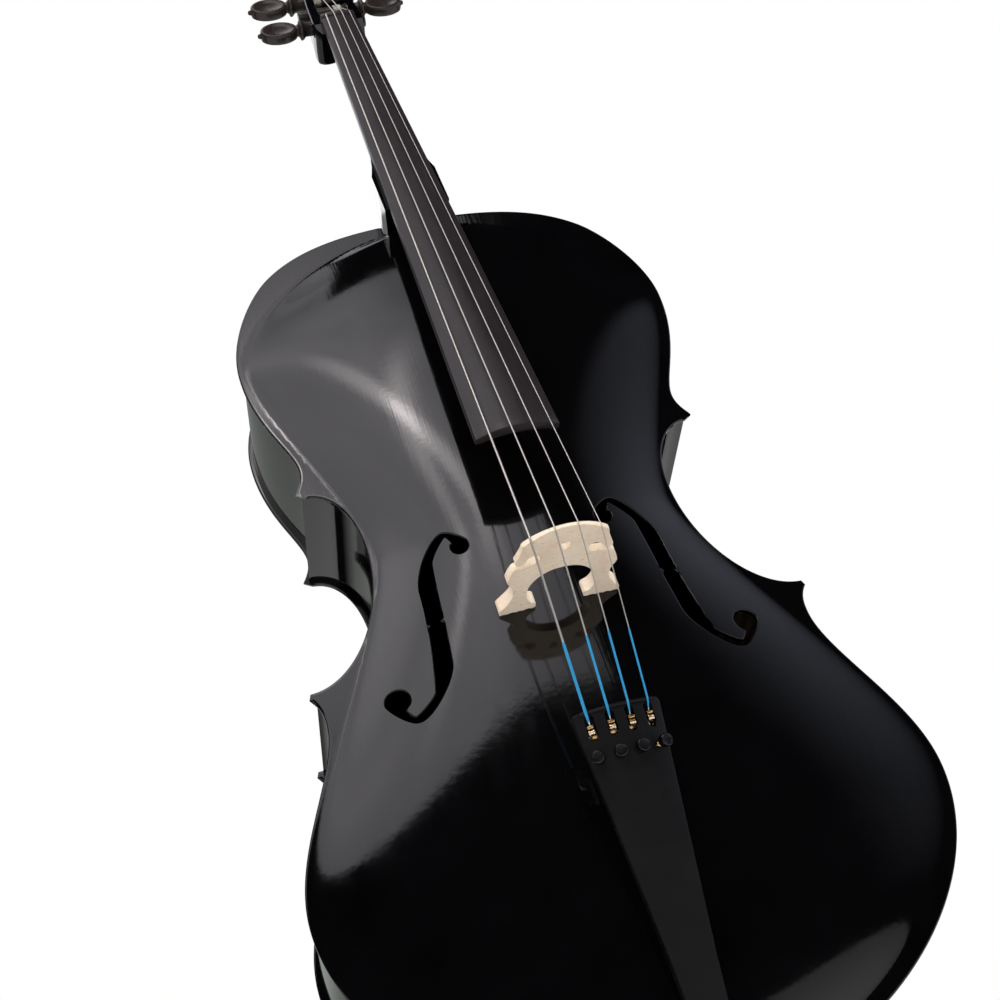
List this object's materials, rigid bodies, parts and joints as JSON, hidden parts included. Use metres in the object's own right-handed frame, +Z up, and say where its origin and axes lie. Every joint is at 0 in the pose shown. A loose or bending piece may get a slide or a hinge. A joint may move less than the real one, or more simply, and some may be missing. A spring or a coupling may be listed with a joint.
{
  "type": "cello",
  "caption": "Full-size black-lacquered cello with maple bridge, tuning pegs, a tailpiece with built-in fine tuners and an adjustable endpin.",
  "frame": {"origin": "centre of the flat bottom of the endpin's rubber tip, on the endpin's axis, where it stands on the floor", "axes": "+Z up along the body from endpin to scroll, -Y the way the front, bridge and strings face, +X towards the A string"},
  "size_m": [0.44, 0.259, 1.5519],
  "materials": {
    "lacquer": "gloss",
    "spruce": "matte",
    "ebony": "satin",
    "maple": "matte",
    "composite": "satin",
    "knob_black": "satin",
    "brass": "satin",
    "string_steel": "satin",
    "rod_steel": "polished",
    "silk_blue": "satin",
    "cord_black": "satin",
    "rubber_black": "matte",
    "socket_black": "satin"
  },
  "bodies": {
    "root": {"top_plate": "lacquer", "back_plate": "lacquer", "rib_upper_left": "lacquer", "rib_upper_right": "lacquer", "rib_waist_left": "lacquer", "rib_waist_right": "lacquer", "rib_lower_left": "lacquer", "rib_lower_right": "lacquer", "linings": "spruce", "corner_blocks": "spruce", "neck_block": "spruce", "end_block": "spruce", "bass_bar": "spruce", "sound_post": "spruce", "neck": "lacquer", "fingerboard": "ebony", "nut": "ebony", "saddle": "ebony", "bridge": "maple", "tailpiece": "composite", "tailpiece_fret": "composite", "tuner_pins": "rod_steel", "tail_cord": "cord_black", "string_silk": "silk_blue", "string_c": "string_steel", "string_g": "string_steel", "string_d": "string_steel", "string_a": "string_steel", "endpin_socket": "socket_black", "endpin_collar": "socket_black"},
    "tuner_screw_c": {"tuner_screw_c": "brass"},
    "tuner_knob_c": {"tuner_knob_c": "knob_black"},
    "tuner_lever_c": {"tuner_lever_c": "brass", "ball_end_c": "brass"},
    "peg_c": {"peg_c": "ebony", "winding_c": "string_steel"},
    "tuner_screw_g": {"tuner_screw_g": "brass"},
    "tuner_knob_g": {"tuner_knob_g": "knob_black"},
    "tuner_lever_g": {"tuner_lever_g": "brass", "ball_end_g": "brass"},
    "peg_g": {"peg_g": "ebony", "winding_g": "string_steel"},
    "tuner_screw_d": {"tuner_screw_d": "brass"},
    "tuner_knob_d": {"tuner_knob_d": "knob_black"},
    "tuner_lever_d": {"tuner_lever_d": "brass", "ball_end_d": "brass"},
    "peg_d": {"peg_d": "ebony", "winding_d": "string_steel"},
    "tuner_screw_a": {"tuner_screw_a": "brass"},
    "tuner_knob_a": {"tuner_knob_a": "knob_black"},
    "tuner_lever_a": {"tuner_lever_a": "brass", "ball_end_a": "brass"},
    "peg_a": {"peg_a": "ebony", "winding_a": "string_steel"},
    "endpin": {"endpin_rod": "rod_steel", "endpin_tip": "rubber_black"},
    "endpin_screw": {"endpin_screw": "rod_steel"},
    "endpin_screw_head": {"endpin_screw_head": "rod_steel"}
  },
  "joints": [
    {"name": "fine_tuner_c_travel", "type": "slide", "parent": "root", "child": "tuner_screw_c", "axis": [0.3387, 0.9186, 0.2036], "range_m": [-0.003, 0.0018]},
    {"name": "fine_tuner_c_turn", "type": "hinge", "parent": "tuner_screw_c", "child": "tuner_knob_c", "pos_m": [-0.021, -0.12432, 0.54902], "axis": [0.3387, 0.9186, 0.2036], "range_deg": [-1801, 1081]},
    {"name": "fine_tuner_c_lever", "type": "hinge", "parent": "root", "child": "tuner_lever_c", "pos_m": [-0.01778, -0.11906, 0.56657], "axis": [0.9409, -0.3307, -0.0733], "range_deg": [-10.79, 6.5]},
    {"name": "peg_c_turn", "type": "hinge", "parent": "root", "child": "peg_c", "pos_m": [0, -0.03136, 1.39466], "axis": [-1, 0, 0], "continuous": true},
    {"name": "fine_tuner_g_travel", "type": "slide", "parent": "root", "child": "tuner_screw_g", "axis": [0.1129, 0.9701, 0.2151], "range_m": [-0.003, 0.0018]},
    {"name": "fine_tuner_g_turn", "type": "hinge", "parent": "tuner_screw_g", "child": "tuner_knob_g", "pos_m": [-0.007, -0.12751, 0.54831], "axis": [0.1129, 0.9701, 0.2151], "range_deg": [-1801, 1081]},
    {"name": "fine_tuner_g_lever", "type": "hinge", "parent": "root", "child": "tuner_lever_g", "pos_m": [-0.00593, -0.12176, 0.56597], "axis": [0.9936, -0.1102, -0.0244], "range_deg": [-10.79, 6.5]},
    {"name": "peg_g_turn", "type": "hinge", "parent": "root", "child": "peg_g", "pos_m": [0, -0.01829, 1.44705], "axis": [-1, 0, 0], "continuous": true},
    {"name": "fine_tuner_d_travel", "type": "slide", "parent": "root", "child": "tuner_screw_d", "axis": [-0.1129, 0.9701, 0.2151], "range_m": [-0.003, 0.0018]},
    {"name": "fine_tuner_d_turn", "type": "hinge", "parent": "tuner_screw_d", "child": "tuner_knob_d", "pos_m": [0.007, -0.12751, 0.54831], "axis": [-0.1129, 0.9701, 0.2151], "range_deg": [-1801, 1081]},
    {"name": "fine_tuner_d_lever", "type": "hinge", "parent": "root", "child": "tuner_lever_d", "pos_m": [0.00593, -0.12176, 0.56597], "axis": [0.9936, 0.1102, 0.0244], "range_deg": [-10.79, 6.5]},
    {"name": "peg_d_turn", "type": "hinge", "parent": "root", "child": "peg_d", "pos_m": [0, -0.01176, 1.47325], "axis": [1, 0, 0], "continuous": true},
    {"name": "fine_tuner_a_travel", "type": "slide", "parent": "root", "child": "tuner_screw_a", "axis": [-0.3387, 0.9186, 0.2036], "range_m": [-0.0012, 0.0036]},
    {"name": "fine_tuner_a_turn", "type": "hinge", "parent": "tuner_screw_a", "child": "tuner_knob_a", "pos_m": [0.021, -0.12432, 0.54902], "axis": [-0.3387, 0.9186, 0.2036], "range_deg": [-721, 2161]},
    {"name": "fine_tuner_a_lever", "type": "hinge", "parent": "root", "child": "tuner_lever_a", "pos_m": [0.01778, -0.11906, 0.56657], "axis": [0.9409, 0.3307, 0.0733], "range_deg": [-4.35, 12.94]},
    {"name": "peg_a_turn", "type": "hinge", "parent": "root", "child": "peg_a", "pos_m": [0, -0.02483, 1.42086], "axis": [1, 0, 0], "continuous": true},
    {"name": "endpin_slide", "type": "slide", "parent": "root", "child": "endpin", "axis": [0, 0, 1], "range_m": [0, 0.3]},
    {"name": "endpin_screw_travel", "type": "slide", "parent": "root", "child": "endpin_screw", "axis": [1, 0, 0], "range_m": [0, 0.0015]},
    {"name": "endpin_screw_turn", "type": "hinge", "parent": "endpin_screw", "child": "endpin_screw_head", "pos_m": [0.018, 0, 0.3275], "axis": [-1, 0, 0], "range_deg": [-541, 1]}
  ],
  "couplings": [
    {"joint": "fine_tuner_c_turn", "follows": "fine_tuner_c_travel", "rad_per_m": 10472},
    {"joint": "fine_tuner_c_lever", "follows": "fine_tuner_c_travel", "rad_per_m": 62.5},
    {"joint": "fine_tuner_g_turn", "follows": "fine_tuner_g_travel", "rad_per_m": 10472},
    {"joint": "fine_tuner_g_lever", "follows": "fine_tuner_g_travel", "rad_per_m": 62.5},
    {"joint": "fine_tuner_d_turn", "follows": "fine_tuner_d_travel", "rad_per_m": 10472},
    {"joint": "fine_tuner_d_lever", "follows": "fine_tuner_d_travel", "rad_per_m": 62.5},
    {"joint": "fine_tuner_a_turn", "follows": "fine_tuner_a_travel", "rad_per_m": 10472},
    {"joint": "fine_tuner_a_lever", "follows": "fine_tuner_a_travel", "rad_per_m": 62.5},
    {"joint": "endpin_screw_turn", "follows": "endpin_screw_travel", "rad_per_m": -6283.2}
  ]
}
